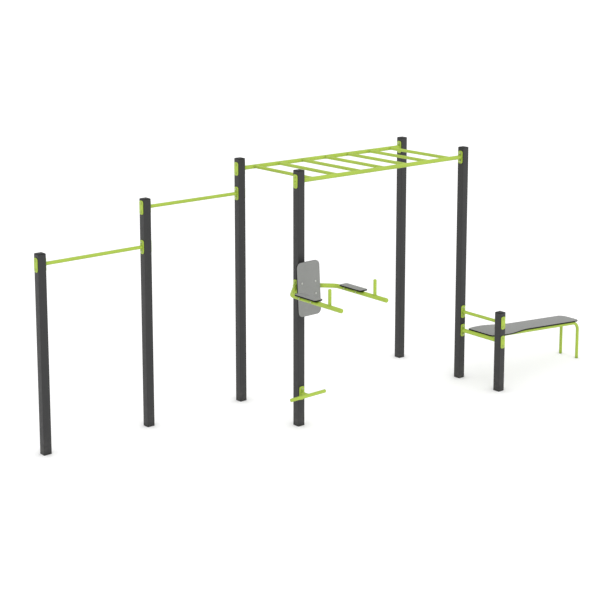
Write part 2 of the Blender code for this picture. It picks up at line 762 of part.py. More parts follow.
def build_backing_plates():
    front = -LADDER_WIDTH
    toward = {"+X": 0, "+Y": math.pi / 2, "-X": math.pi, "-Y": -math.pi / 2}
    layout = [
        ("low_bar_plate_1", (0, 0, LOW_BAR_HEIGHT), "-X"),
        ("low_bar_plate_2", (BAY, 0, LOW_BAR_HEIGHT), "+X"),
        ("high_bar_plate_1", (BAY, 0, HIGH_BAR_HEIGHT), "-X"),
        ("high_bar_plate_2", (2 * BAY, 0, HIGH_BAR_HEIGHT), "+X"),
        ("rail_plate_1", (2 * BAY, 0, RAIL_HEIGHT), "-X"),
        ("rail_plate_2", (LADDER_END, 0, RAIL_HEIGHT), "+X"),
        ("rail_plate_4", (LADDER_END, front, RAIL_HEIGHT), "+X"),
        ("ankle_plate_1", (LADDER_END, front, ANKLE_BAR_HEIGHT), "+Y"),
        ("ankle_plate_2", (LADDER_END, front - BENCH_BAY, ANKLE_BAR_HEIGHT), "-Y"),
        ("bench_bar_plate_1", (LADDER_END, front, BENCH_BAR_HEIGHT), "+Y"),
        ("bench_bar_plate_2", (LADDER_END, front - BENCH_BAY, BENCH_BAR_HEIGHT), "-Y"),
        ("step_plate", (2 * BAY, front, STEP_HEIGHT), "+Y"),
    ]
    first = None
    for name, place, side in layout:
        if first is None:
            first = backing_plate(name, place, toward[side])
        else:
            copy_of(first, name, place, (0, 0, toward[side]))
    rail = (2 * BAY, front, RAIL_HEIGHT)
    backing_plate("rail_plate_3", rail, toward["-X"], holed=True)
    bracket = (2 * BAY, front, BACKREST_HEIGHT)
    backing_plate("bracket_plate", bracket, toward["+Y"], BRACKET_PLATE_HEIGHT, BRACKET_BOLT_PITCH)


def build_rungs():
    solids, cuts = rung_parts()
    y = -LADDER_WIDTH / 2
    first_x = 2 * BAY + RUNG_INSET
    first = piece("ladder_rung_1", lime, solids, cuts, (first_x, y, RAIL_HEIGHT))
    for index in range(1, RUNG_COUNT):
        copy_of(first, f"ladder_rung_{index + 1}", (first_x + index * RUNG_PITCH, y, RAIL_HEIGHT))


def build_dip_stand():
    dip_arm("dip_arm_1", -1, bolted_plate(), [centre_hole()])
    dip_arm("dip_arm_2", 1, *flange())
    saddle_seat = ARM_HEIGHT + ARM_RADIUS + GAP + SADDLE_PLATE + GAP
    originals = {}
    makers = {
        "grip": grip_parts,
        "arm_pad": lambda: ([rounded_board(PAD_WIDTH, PAD_LENGTH, PAD_CORNER)], ()),
        "pad_saddle": lambda: (saddle_solids(), ()),
    }
    layout = []
    for number, side in enumerate((-1, 1), 1):
        x = side * ARM_SPREAD
        layout.append(("grip", number, lime, (x, -GRIP_PLACE, ARM_HEIGHT)))
        layout.append(("arm_pad", number, grey_board, (x, -PAD_PLACE, saddle_seat)))
        for place in pair(SADDLE_PLACE, SADDLE_PITCH):
            layout.append(("pad_saddle", 2 * number - (place < SADDLE_PLACE), lime, (x, -place, ARM_HEIGHT)))
    for kind, number, material, offset in layout:
        place = DIP_POST + Vector(offset)
        name = f"{kind}_{number}"
        if kind in originals:
            copy_of(originals[kind], name, place)
        else:
            originals[kind] = piece(name, material, *makers[kind](), place)
    outward = (0, 0, -math.pi / 2)
    height = DIP_POST + Vector((0, 0, BACKREST_HEIGHT))
    piece("backrest_bracket", lime, *bracket_parts(), height, outward)
    lean = (math.pi / 2 - BACKREST_LEAN, 0, 0)
    piece("backrest", grey_board, backrest_solids(), (), height - Vector((0, BACKREST_REACH, 0)), lean)
    piece("foot_step", lime, *step_parts(), DIP_POST + Vector((0, 0, STEP_HEIGHT)), outward)


def build_bench():
    slope = (0, BENCH_SLOPE, 0)
    piece("bench_board", grey_board, [board(bench_outline)], (), BENCH_HEAD, slope)
    front_y, rear_y = pair(BENCH_BAR.y, BENCH_RAIL_SPREAD)
    leg = piece("bench_leg_1", lime, *bench_leg_parts(), (LADDER_END, front_y, 0))
    copy_of(leg, "bench_leg_2", (LADDER_END, rear_y, 0))
    drop = BENCH_UP * (GAP + STRAP_THICKNESS)
    head_place = BENCH_HEAD + BENCH_ALONG * STRAP_HEAD_PLACE - drop
    foot_place = BENCH_HEAD + BENCH_ALONG * STRAP_FOOT_PLACE - drop
    strap = piece("bench_strap_1", lime, *strap_parts(), head_place, slope)
    copy_of(strap, "bench_strap_2", foot_place, slope)


clear_scene()
anthracite = principled("anthracite_paint", (0.065, 0.065, 0.068), 0.5, 0.0)
black = principled("black_plastic", (0.020, 0.020, 0.022), 0.45, 0.0)
lime = principled("lime_paint", (0.45, 0.62, 0.07), 0.4, 0.0)
grey_board = principled("grey_board", (0.30, 0.31, 0.30), 0.6, 0.0)

station = bpy.data.objects.new("station", None)
bpy.context.scene.collection.objects.link(station)
station.location = (-(LEAST_X + MOST_X) / 2, -(LEAST_Y + MOST_Y) / 2, 0)

build_posts()
build_bars()
build_backing_plates()
build_rungs()
build_dip_stand()
build_bench()
bpy.context.view_layer.update()
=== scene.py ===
"""Outdoor fitness station: the looks of its posts, bars, ladder, dip stand and sit-up bench."""

import math

import bmesh
import bpy
from mathutils import Matrix, Vector


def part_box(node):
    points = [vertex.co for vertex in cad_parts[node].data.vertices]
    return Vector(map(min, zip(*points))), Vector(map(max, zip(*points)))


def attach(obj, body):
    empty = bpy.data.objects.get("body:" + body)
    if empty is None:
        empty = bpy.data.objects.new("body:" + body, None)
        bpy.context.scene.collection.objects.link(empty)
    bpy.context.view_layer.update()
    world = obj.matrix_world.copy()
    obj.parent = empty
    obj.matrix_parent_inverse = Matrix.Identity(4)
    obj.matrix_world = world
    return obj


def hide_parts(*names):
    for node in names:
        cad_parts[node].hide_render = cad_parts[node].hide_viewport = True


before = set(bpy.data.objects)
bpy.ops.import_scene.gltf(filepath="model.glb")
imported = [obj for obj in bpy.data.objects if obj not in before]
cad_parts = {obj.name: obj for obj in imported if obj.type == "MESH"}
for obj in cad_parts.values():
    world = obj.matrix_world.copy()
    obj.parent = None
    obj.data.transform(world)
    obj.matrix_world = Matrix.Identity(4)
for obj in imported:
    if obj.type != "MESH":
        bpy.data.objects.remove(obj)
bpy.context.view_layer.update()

# Sizes that the CAD boxes don't give by themselves
GAP = 0.0003
POST_SIDE = 0.080
POST_CORNER = 0.006
POST_WALL = 0.004
SEAT = POST_SIDE / 2 + GAP
PLATE_WIDTH = 0.060
PLATE_HEIGHT = 0.134
PLATE_THICKNESS = 0.006
PLATE_CORNER = 0.020
PLATE_EASE = 0.0009
PLATE_FACE = SEAT + PLATE_THICKNESS
WASHER_RADIUS = 0.0104
KEY_RADIUS = 0.0036
HEAD_SIDES = 32
BOLT_PITCH = 0.086
BRACKET_PLATE_HEIGHT = 0.176
BRACKET_BOLT_PITCH = 0.136
BAR_RADIUS = 0.01685
RAIL_RADIUS = 0.0212
TUBE_WALL = 0.0026
WELD_OVERLAP = 0.0005
BEAD_RISE = 0.0008
SMALL_BEAD = 0.0022
ARM_SPREAD = 0.277
ARM_REACH = 0.931
ARM_BEND = 0.100
ARM_SPLAY = math.radians(45)
GRIP_RADIUS = 0.0155
BOARD = 0.0125
BOARD_EASE = 0.0012
BACKREST_LEAN = math.radians(3.6)
BACKREST_REACH = 0.1385
BENCH_SLOPE = math.radians(4.65)
BENCH_LEG_BEND = 0.090
BENCH_RAIL_SPREAD = 0.228
BENCH_LENGTH = 1.522
BENCH_CROWN = 0.009
STRAP_PLACES = (0.330, 1.180)
TUBE_SIDES = 48

UP = Vector((0, 0, 1))
SIDES = {"+X": Vector((1, 0, 0)), "-X": Vector((-1, 0, 0)), "+Y": Vector((0, 1, 0)), "-Y": Vector((0, -1, 0))}


def middle(node):
    low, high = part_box(node)
    return (low + high) / 2


post_at = {number: middle(f"post_{number}") for number in range(1, 8)}


def at_post(number, height):
    return Vector((post_at[number].x, post_at[number].y, height))


# Working by hand: picking, selecting and placing


def pick(*pieces):
    bpy.ops.object.select_all(action="DESELECT")
    for piece in pieces:
        piece.select_set(True)
    bpy.context.view_layer.objects.active = pieces[0]


def edit(piece):
    pick(piece)
    bpy.ops.object.mode_set(mode="EDIT")


def leave_edit():
    bpy.ops.object.mode_set(mode="OBJECT")


def select(kind, test):
    """In edit mode, selects the vertices, edges or faces that pass the test."""
    bpy.ops.mesh.select_mode(type=kind)
    bpy.ops.mesh.select_all(action="DESELECT")
    mesh = bmesh.from_edit_mesh(bpy.context.object.data)
    for item in {"VERT": mesh.verts, "EDGE": mesh.edges, "FACE": mesh.faces}[kind]:
        if test(item):
            item.select_set(True)
    mesh.select_flush_mode()
    bmesh.update_edit_mesh(bpy.context.object.data)


def apply_place(piece):
    pick(piece)
    bpy.ops.object.transform_apply(location=True, rotation=True, scale=True)
    return piece


def modify(piece, kind, **settings):
    pick(piece)
    bpy.ops.object.modifier_add(type=kind)
    modifier = piece.modifiers[-1]
    for name, value in settings.items():
        setattr(modifier, name, value)
    bpy.ops.object.modifier_apply(modifier=modifier.name)
    return piece


def cut(piece, *tools):
    for tool in tools:
        modify(piece, "BOOLEAN", operation="DIFFERENCE", solver="EXACT", object=tool)
        bpy.data.objects.remove(tool, do_unlink=True)
    return piece


def joined(*pieces):
    pick(*pieces)
    if len(pieces) > 1:
        bpy.ops.object.join()
    return bpy.context.object


def smooth(piece, degrees=35):
    pick(piece)
    bpy.ops.object.shade_smooth_by_angle(angle=math.radians(degrees))
    return piece


def facing(place, outward, up=UP):
    """The place of a shape made along Z with its own Y upright."""
    across = up.cross(outward).normalized()
    upright = outward.cross(across).normalized()
    return Matrix.Translation(place) @ Matrix((across, upright, outward.normalized())).transposed().to_4x4()


def placed(piece, matrix):
    piece.matrix_world = matrix
    return apply_place(piece)


def copied(pattern, matrix):
    pick(pattern)
    bpy.ops.object.duplicate(linked=False)
    return placed(bpy.context.object, matrix)


def keep(piece, name, finish, slot, *nodes):
    """Names a finished piece, gives it its finish and its body, and hides the CAD nodes that it stands for."""
    piece.name = piece.data.name = name
    if finish is not None:
        piece.data.materials.clear()
        piece.data.materials.append(finish)
    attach(piece, "root")
    if nodes:
        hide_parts(*nodes)
    return piece


# Starting shapes


def block(size, place):
    bpy.ops.object.select_all(action="DESELECT")
    bpy.ops.mesh.primitive_cube_add(size=1, location=place, scale=size)
    return apply_place(bpy.context.object)


def cylinder(radius, low, high, sides=TUBE_SIDES, fill="NGON", axis=None, place=(0, 0, 0)):
    bpy.ops.object.select_all(action="DESELECT")
    bpy.ops.mesh.primitive_cylinder_add(
        vertices=sides, radius=radius, depth=high - low, end_fill_type=fill, location=(0, 0, (low + high) / 2)
    )
    piece = apply_place(bpy.context.object)
    if axis is None:
        return piece
    upright = UP if abs(axis.z) < 0.5 else SIDES["+Y"]
    return placed(piece, facing(Vector(place), axis, upright))


def cross_bar(radius, axis, place=(0, 0, 0)):
    """A round bar to cut away where another tube passes."""
    return cylinder(radius, -0.05, 0.05, axis=axis, place=place)


def is_sharp(edge):
    return edge.is_manifold and edge.calc_face_angle() > math.radians(50)


def runs_along(edge, axis):
    return abs((edge.verts[1].co - edge.verts[0].co).normalized().dot(axis)) > 0.999


def round_corners(piece, radius, segments):
    """Rounds the upright edges of a block."""
    edit(piece)
    select("EDGE", lambda edge: runs_along(edge, UP))
    bpy.ops.mesh.bevel(offset=radius, segments=segments, affect="EDGES")
    leave_edit()
    return piece


def ease_edges(piece, width, segments, test=is_sharp):
    edit(piece)
    select("EDGE", test)
    bpy.ops.mesh.bevel(offset=width, segments=segments, affect="EDGES")
    leave_edit()
    return piece


def top_edge(height):
    """A test for the sharp edge round the top of a head or a grip."""
    return lambda edge: is_sharp(edge) and min(vert.co.z for vert in edge.verts) > height - 0.001


def tube(radius, low, high):
    piece = cylinder(radius, low, high, fill="NOTHING")
    return modify(piece, "SOLIDIFY", thickness=TUBE_WALL, offset=-1, use_rim=True)


def weld_bead(radius, size=0.0026, stretch=1.0, on_radius=None, across=1):
    """An uneven bead round a tube that stands on a plate, or on another tube that lies across the given axis."""
    bpy.ops.object.select_all(action="DESELECT")
    bpy.ops.mesh.primitive_torus_add(
        major_segments=TUBE_SIDES, minor_segments=10, major_radius=radius + size * 0.25, minor_radius=size
    )
    bead = bpy.context.object
    bead.scale = (1, stretch, 1)
    apply_place(bead)
    if on_radius:
        edit(bead)
        for step in range(TUBE_SIDES // 4 + 1):
            turn = 2 * math.pi * step / TUBE_SIDES
            reach = min(radius * math.cos(turn), on_radius * 0.98)
            drop = on_radius - math.sqrt(on_radius ** 2 - reach ** 2)
            select("VERT", lambda vert: abs(math.atan2(abs(vert.co[1 - across]), abs(vert.co[across])) - turn) < 0.01)
            bpy.ops.transform.translate(value=(0, 0, -drop))
        leave_edit()
    uneven = bpy.data.textures.new("weld_ripple", "CLOUDS")
    uneven.noise_scale = 0.005
    return modify(bead, "DISPLACE", texture=uneven, strength=0.0012, mid_level=0.5, texture_coords="LOCAL")


# Finishes


def new_finish(name, **values):
    finish = bpy.data.materials.new(name)
    finish.use_nodes = True
    shader = finish.node_tree.nodes["Principled BSDF"]
    for socket, value in values.items():
        shader.inputs[socket.replace("_", " ")].default_value = value
    return finish, finish.node_tree, shader


def add(tree, kind, links=None, **values):
    """Adds a node, sets its own settings and its inputs, and links what is given as (node, output)."""
    made = tree.nodes.new(kind)
    for name, value in values.items():
        if hasattr(made, name):
            setattr(made, name, value)
        else:
            made.inputs[name.replace("_", " ")].default_value = value
    for socket, (source, output) in (links or {}).items():
        tree.links.new(source.outputs[output], made.inputs[socket])
    return made


def surface_place(tree):
    return add(tree, "ShaderNodeTexCoord")


def noise(tree, place, scale, detail, roughness=0.5):
    settings = {"Scale": scale, "Detail": detail, "Roughness": roughness}
    return add(tree, "ShaderNodeTexNoise", {"Vector": (place, "Object")}, **settings)


def ranged(tree, source, output, low, high, start=0.0, end=1.0):
    made = add(tree, "ShaderNodeMapRange", {"Value": (source, output)})
    for name, value in (("From Min", start), ("From Max", end), ("To Min", low), ("To Max", high)):
        made.inputs[name].default_value = value
    return made


def mixed(tree, kind, factor, first, second):
    """A colour mix. Each side is a colour or a (node, output)."""
    made = tree.nodes.new("ShaderNodeMix")
    made.data_type = "RGBA"
    made.blend_type = kind
    for socket, value in ((0, factor), (6, first), (7, second)):
        if isinstance(value, tuple) and isinstance(value[0], bpy.types.Node):
            tree.links.new(value[0].outputs[value[1]], made.inputs[socket])
        else:
            made.inputs[socket].default_value = value
    return made


def edge_wear(tree, place, strength):
    """Rubbed edges, broken up by noise."""
    flat = add(tree, "ShaderNodeNewGeometry")
    rounded = add(tree, "ShaderNodeBevel", Radius=0.0025, samples=4)
    turned = add(tree, "ShaderNodeVectorMath", {0: (flat, "Normal"), 1: (rounded, "Normal")}, operation="DOT_PRODUCT")
    edges = ranged(tree, turned, "Value", 1.0, 0.0, 0.93, 0.995)
    broken = noise(tree, place, 55.0, 4.0, 0.6)
    patches = ranged(tree, broken, "Fac", 0.0, strength, 0.4, 0.7)
    return add(tree, "ShaderNodeMath", {0: (edges, "Result"), 1: (patches, "Result")}, operation="MULTIPLY")


def powder_coat(name, colour, roughness, dust, grain, sheen, painted_shade_colour):
    """Baked powder paint: fine orange peel, faint clouds, painted shade in the corners, where parts meet and under
    other parts, and a little dust low down.
    """
    finish, tree, shader = new_finish(name, IOR=1.5)
    shader.inputs["Specular IOR Level"].default_value = sheen
    place = surface_place(tree)
    clouds = noise(tree, place, 3.0, 4.0)
    shade = ranged(tree, clouds, "Fac", 0.93, 1.07, 0.25, 0.75)
    mottle = noise(tree, place, 90.0, 3.0)
    fine = ranged(tree, mottle, "Fac", 0.965, 1.035, 0.3, 0.7)
    both = add(tree, "ShaderNodeMath", {0: (shade, "Result"), 1: (fine, "Result")}, operation="MULTIPLY")
    tinted = mixed(tree, "MULTIPLY", 1.0, (*colour, 1), (both, "Value"))
    height = add(tree, "ShaderNodeSeparateXYZ", {"Vector": (place, "Object")})
    low = ranged(tree, height, "Z", 1.0, 0.0, 0.0, 0.22)
    splash = noise(tree, place, 22.0, 5.0, 0.65)
    spots = ranged(tree, splash, "Fac", 0.0, dust, 0.42, 0.72)
    dusty = add(tree, "ShaderNodeMath", {0: (low, "Result"), 1: (spots, "Result")}, operation="MULTIPLY")
    coloured = mixed(tree, "MIX", (dusty, "Value"), (tinted, 2), (0.34, 0.31, 0.27, 1))
    # Painted shade: the colour falls to the coat's deep shade colour where ambient occlusion finds corners, joints
    # and overhangs.
    corner_occlusion = add(tree, "ShaderNodeAmbientOcclusion", Distance=0.04, samples=8)
    unshaded = ranged(tree, corner_occlusion, "AO", 0.0, 1.0, 0.30, 0.95)
    corner_shaded = mixed(tree, "MIX", (unshaded, "Result"), (*painted_shade_colour, 1), (coloured, 2))
    rubbed = tuple(min(1.0, channel * 1.25 + 0.05) for channel in colour)
    worn = mixed(tree, "MIX", (edge_wear(tree, place, 0.5), "Value"), (corner_shaded, 2), (*rubbed, 1))
    tree.links.new(worn.outputs[2], shader.inputs["Base Color"])
    wear = noise(tree, place, 30.0, 4.0, 0.6)
    rough = ranged(tree, wear, "Fac", roughness - 0.06, roughness + 0.08, 0.3, 0.7)
    tree.links.new(rough.outputs["Result"], shader.inputs["Roughness"])
    peel = noise(tree, place, 620.0, 2.0, 0.55)
    bump = add(tree, "ShaderNodeBump", {"Height": (peel, "Fac")}, Strength=grain, Distance=0.0004)
    tree.links.new(bump.outputs["Normal"], shader.inputs["Normal"])
    return finish


def moulded_plastic(name, colour):
    finish, tree, shader = new_finish(name, IOR=1.48)
    shader.inputs["Specular IOR Level"].default_value = 0.25
    place = surface_place(tree)
    clouds = noise(tree, place, 18.0, 4.0)
    shade = ranged(tree, clouds, "Fac", 0.85, 1.2, 0.3, 0.7)
    tinted = mixed(tree, "MULTIPLY", 1.0, (*colour, 1), (shade, "Result"))
    worn = mixed(tree, "MIX", (edge_wear(tree, place, 0.5), "Value"), (tinted, 2), (0.05, 0.05, 0.05, 1))
    tree.links.new(worn.outputs[2], shader.inputs["Base Color"])
    rough = ranged(tree, clouds, "Fac", 0.5, 0.66, 0.3, 0.7)
    tree.links.new(rough.outputs["Result"], shader.inputs["Roughness"])
    grain = noise(tree, place, 900.0, 2.0)
    bump = add(tree, "ShaderNodeBump", {"Height": (grain, "Fac")}, Strength=0.2, Distance=0.0003)
    tree.links.new(bump.outputs["Normal"], shader.inputs["Normal"])
    return finish


def board_face(name, colour):
    """A hard laminate board: a fine fleck in the colour and a pebbled surface."""
    finish, tree, shader = new_finish(name, IOR=1.5)
    place = surface_place(tree)
    clouds = noise(tree, place, 7.0, 5.0)
    shade = ranged(tree, clouds, "Fac", 0.94, 1.06, 0.3, 0.7)
    fleck = noise(tree, place, 420.0, 2.0, 0.7)
    fine = ranged(tree, fleck, "Fac", 0.86, 1.12, 0.35, 0.65)
    both = add(tree, "ShaderNodeMath", {0: (shade, "Result"), 1: (fine, "Result")}, operation="MULTIPLY")
    tinted = mixed(tree, "MULTIPLY", 1.0, (*colour, 1), (both, "Value"))
    worn = mixed(tree, "MIX", (edge_wear(tree, place, 0.4), "Value"), (tinted, 2), (0.33, 0.33, 0.32, 1))
    tree.links.new(worn.outputs[2], shader.inputs["Base Color"])
    rough = ranged(tree, clouds, "Fac", 0.5, 0.62, 0.3, 0.7)
    tree.links.new(rough.outputs["Result"], shader.inputs["Roughness"])
    pebble = add(tree, "ShaderNodeTexVoronoi", {"Vector": (place, "Object")}, Scale=480.0, feature="SMOOTH_F1")
    bump = add(tree, "ShaderNodeBump", {"Height": (pebble, "Distance")}, Strength=0.25, Distance=0.0003)
    tree.links.new(bump.outputs["Normal"], shader.inputs["Normal"])
    return finish


def board_edge(name, colour):
    """The board's cut edge, dark, with the faint layers of its core."""
    finish, tree, shader = new_finish(name, IOR=1.5)
    shader.inputs["Specular IOR Level"].default_value = 0.15
    place = surface_place(tree)
    layers = add(tree, "ShaderNodeTexWave", {"Vector": (place, "Object")}, Scale=260.0, Distortion=1.5, Detail=2.0)
    layers.bands_direction = "Z"
    shade = ranged(tree, layers, "Fac", 0.75, 1.3)
    tinted = mixed(tree, "MULTIPLY", 1.0, (*colour, 1), (shade, "Result"))
    tree.links.new(tinted.outputs[2], shader.inputs["Base Color"])
    scratches = noise(tree, place, 160.0, 4.0)
    rough = ranged(tree, scratches, "Fac", 0.42, 0.6, 0.3, 0.7)
    tree.links.new(rough.outputs["Result"], shader.inputs["Roughness"])
    return finish


def bright_steel(name, colour):
    finish, tree, shader = new_finish(name, Metallic=1.0)
    place = surface_place(tree)
    clouds = noise(tree, place, 240.0, 4.0)
    shade = ranged(tree, clouds, "Fac", 0.85, 1.1, 0.3, 0.7)
    tinted = mixed(tree, "MULTIPLY", 1.0, (*colour, 1), (shade, "Result"))
    tree.links.new(tinted.outputs[2], shader.inputs["Base Color"])
    rough = ranged(tree, clouds, "Fac", 0.32, 0.48, 0.3, 0.7)
    tree.links.new(rough.outputs["Result"], shader.inputs["Roughness"])
    return finish


# Each coat's deep colour is the painted shade for its corners, joints and the places under other parts.
anthracite = powder_coat(
    "anthracite_powder_coat", (0.0220, 0.0220, 0.0226), roughness=0.46, dust=0.12, grain=0.22, sheen=0.5,
    painted_shade_colour=(0.009, 0.010, 0.008),
)
lime = powder_coat(
    "lime_powder_coat", (0.393, 0.537, 0.064), roughness=0.44, dust=0.08, grain=0.14, sheen=0.35,
    painted_shade_colour=(0.140, 0.240, 0.003),
)
bolt_lime = powder_coat(
    "lime_bolt_coat", (0.43, 0.52, 0.150), roughness=0.42, dust=0.0, grain=0.14, sheen=0.4, painted_shade_colour=(0.22, 0.30, 0.03)
)
black = moulded_plastic("black_cap_plastic", (0.014, 0.014, 0.0145))
grey = board_face("grey_laminate", (0.250, 0.255, 0.245))
dark_edge = board_edge("laminate_edge", (0.005, 0.005, 0.0053))
steel = bright_steel("bright_bolt_steel", (0.60, 0.61, 0.58))
pale_zinc = bright_steel("pale_zinc_nuts", (0.56, 0.61, 0.37))


# Posts and caps


def make_posts():
    for number, place in post_at.items():
        node = f"post_{number}"
        low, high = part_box(node)
        height = high.z - low.z
        post = block((POST_SIDE, POST_SIDE, height), (place.x, place.y, low.z + height / 2))
        round_corners(post, POST_CORNER, 8)
        edit(post)
        select("FACE", lambda face: abs(face.normal.z) > 0.9)
        bpy.ops.mesh.delete(type="ONLY_FACE")
        leave_edit()
        modify(post, "SOLIDIFY", thickness=POST_WALL, offset=-1, use_rim=True)
        keep(smooth(post, 25), f"post_tube_{number}", anthracite, "post_paint", node)


def make_caps():
    """A rim, a low dome drawn up in steps, and a hollow underside."""
    dome = 0.004
    dome_steps = ((0.90, 0.0009), (0.85, 0.0015), (0.78, 0.0010), (0.62, 0.0004), (0.30, 0.0002))
    rim_ease, foot_ease = 0.0028, 0.0008
    wall, hollow = 0.0055, 0.018
    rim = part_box("post_cap_1")[1].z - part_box("post_1")[1].z - GAP - dome
    cap = block((POST_SIDE, POST_SIDE, rim), (0, 0, rim / 2))
    round_corners(cap, POST_CORNER, 8)
    edit(cap)
    select("EDGE", lambda edge: is_sharp(edge) and edge.verts[0].co.z > rim / 2 and edge.verts[1].co.z > rim / 2)
    bpy.ops.mesh.bevel(offset=rim_ease, segments=4, affect="EDGES")
    for width, rise in dome_steps:
        top = max(vert.co.z for vert in bmesh.from_edit_mesh(cap.data).verts)
        select("FACE", lambda face: face.normal.z > 0.99 and face.calc_center_median().z > top - 0.00001)
        widest = max(vert.co.x for vert in bmesh.from_edit_mesh(cap.data).verts if vert.select)
        bpy.ops.mesh.extrude_region_move(TRANSFORM_OT_translate={"value": (0, 0, rise)})
        drawn_in = width * POST_SIDE / 2 / widest
        bpy.ops.transform.resize(value=(drawn_in, drawn_in, 1), center_override=(0, 0, 0))
    select("EDGE", lambda edge: is_sharp(edge) and max(vert.co.z for vert in edge.verts) < 0.0001)
    bpy.ops.mesh.bevel(offset=foot_ease, segments=2, affect="EDGES")
    select("FACE", lambda face: face.normal.z < -0.9)
    bpy.ops.mesh.inset(thickness=wall)
    bpy.ops.mesh.extrude_region_move(TRANSFORM_OT_translate={"value": (0, 0, -hollow)})
    leave_edit()
    smooth(cap, 40)
    for number in post_at:
        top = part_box(f"post_cap_{number}")[1].z
        copy = copied(cap, Matrix.Translation(at_post(number, top - rim - dome)))
        keep(copy, f"cap_{number}", black, "cap_plastic", f"post_cap_{number}")
    bpy.data.objects.remove(cap, do_unlink=True)


# Bolted plates, bolts and nuts, each made facing up and with its long side along Y


def plate_pattern(height, hole=False):
    plate = block((PLATE_WIDTH, height, PLATE_THICKNESS), (0, 0, PLATE_THICKNESS / 2))
    round_corners(plate, PLATE_CORNER, 10)
    ease_edges(plate, PLATE_EASE, 2)
    if hole:
        cut(plate, cylinder(0.005, -PLATE_THICKNESS, 2 * PLATE_THICKNESS, 24))
    return smooth(plate)


def washer(thickness):
    return ease_edges(cylinder(WASHER_RADIUS, 0, thickness, HEAD_SIDES), 0.0003, 1)


def domed_head(radius, low, high, ease, key_radius, key_floor):
    """A round bolt head with a rounded top and a hexagon key hole."""
    head = ease_edges(cylinder(radius, low, high, HEAD_SIDES), ease, 5, top_edge(high))
    return cut(head, cylinder(key_radius, key_floor, high + 0.003, 6))


def bolt_pattern(pitch):
    """Two socket bolts with their washers."""
    made = []
    for y in (-pitch / 2, pitch / 2):
        for piece in (washer(0.0014), domed_head(0.0092, 0.0014, 0.007, 0.0036, KEY_RADIUS, 0.0042)):
            made.append(placed(smooth(piece), Matrix.Translation((0, y, 0))))
    return joined(*made)


def nut_pattern(pitch):
    """Two tall domed nuts on washers."""
    made = []
    for y in (-pitch / 2, pitch / 2):
        hexagon = ease_edges(cylinder(0.0092, 0.0012, 0.0085, 6), 0.0006, 2)
        dome = ease_edges(cylinder(0.0074, 0.008, 0.015, HEAD_SIDES), 0.0060, 6, top_edge(0.015))
        for piece in (washer(0.0012), hexagon, dome):
            made.append(placed(smooth(piece), Matrix.Translation((0, y, 0))))
    return joined(*made)


plate = plate_pattern(PLATE_HEIGHT)
holed_plate = plate_pattern(PLATE_HEIGHT, hole=True)
tall_plate = plate_pattern(BRACKET_PLATE_HEIGHT)
bolts = bolt_pattern(BOLT_PITCH)
tall_bolts = bolt_pattern(BRACKET_BOLT_PITCH)
nuts = nut_pattern(BOLT_PITCH)
tall_nuts = nut_pattern(BRACKET_BOLT_PITCH)
patterns = [plate, holed_plate, tall_plate, bolts, tall_bolts, nuts, tall_nuts]


def on_post(number, height, side, out=0.0):
    """The place of a plate or of what lies on it, against a post's side."""
    outward = SIDES[side]
    return facing(at_post(number, height) + outward * (SEAT + out), outward)


def make_backing_plates():
    layout = (
        ("low_bar_plate_1", 1, "-X"), ("low_bar_plate_2", 2, "+X"),
        ("high_bar_plate_1", 2, "-X"), ("high_bar_plate_2", 3, "+X"),
        ("rail_plate_1", 3, "-X"), ("rail_plate_2", 5, "+X"), ("rail_plate_3", 4, "-X"), ("rail_plate_4", 6, "+X"),
        ("ankle_plate_1", 6, "+Y"), ("ankle_plate_2", 7, "-Y"),
        ("bench_bar_plate_1", 6, "+Y"), ("bench_bar_plate_2", 7, "-Y"),
        ("step_plate", 4, "+Y"), ("bracket_plate", 4, "+Y"),
    )
    for node, number, side in layout:
        height = middle(node).z
        is_tall = node == "bracket_plate"
        shape = tall_plate if is_tall else holed_plate if node == "rail_plate_3" else plate
        backing = copied(shape, on_post(number, height, side))
        keep(backing, f"{node}_sheet", lime, "lime_paint", node)
        pair = copied(tall_bolts if is_tall else bolts, on_post(number, height, side, PLATE_THICKNESS))
        keep(pair, f"{node}_bolts", bolt_lime, "bolt_steel")


# Tubes between two flanges


def make_bar(node, radius):
    low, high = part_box(node)
    along = SIDES["+X"] if high.x - low.x > high.y - low.y else SIDES["+Y"]
    half = (high - low).dot(along) / 2
    length = half - PLATE_THICKNESS
    parts = [tube(radius, -length - WELD_OVERLAP, length + WELD_OVERLAP)]
    for end in (-1, 1):
        flange = copied(plate, facing(-end * half * UP, end * UP, SIDES["+Y"]))
        bead = placed(weld_bead(radius), Matrix.Translation(end * (length - BEAD_RISE) * UP))
        parts += [flange, bead]
    bar = placed(joined(*parts), facing((low + high) / 2, along))
    keep(smooth(bar), f"{node}_tube", lime, "lime_paint", node)
    pairs = []
    for end in (-1, 1):
        place = (low + high) / 2 + along * end * (half - PLATE_THICKNESS)
        pairs.append(copied(nuts, facing(place, -along * end)))
    keep(joined(*pairs), f"{node}_nuts", pale_zinc, "bolt_steel")


def make_rungs():
    """Each rung's ends are shaped to the rails and welded all round."""
    half = middle("ladder_rail_rear").y - middle("ladder_rung_1").y
    rung = tube(BAR_RADIUS, -half, half)
    cut(rung, *(cross_bar(RAIL_RADIUS + GAP, SIDES["+X"], (0, 0, z)) for z in (-half, half)))
    beads = []
    for end in (-1, 1):
        bead = weld_bead(BAR_RADIUS, SMALL_BEAD, on_radius=RAIL_RADIUS, across=1)
        turn = Matrix.Identity(4) if end < 0 else Matrix.Rotation(math.pi, 4, "X")
        beads.append(placed(bead, Matrix.Translation((0, 0, end * (half - RAIL_RADIUS))) @ turn))
    rung = smooth(joined(rung, *beads))
    for number in range(1, 8):
        node = f"ladder_rung_{number}"
        copy = copied(rung, facing(middle(node), SIDES["+Y"]))
        keep(copy, f"{node}_tube", lime, "lime_paint", node)
    bpy.data.objects.remove(rung, do_unlink=True)


# Dip stand


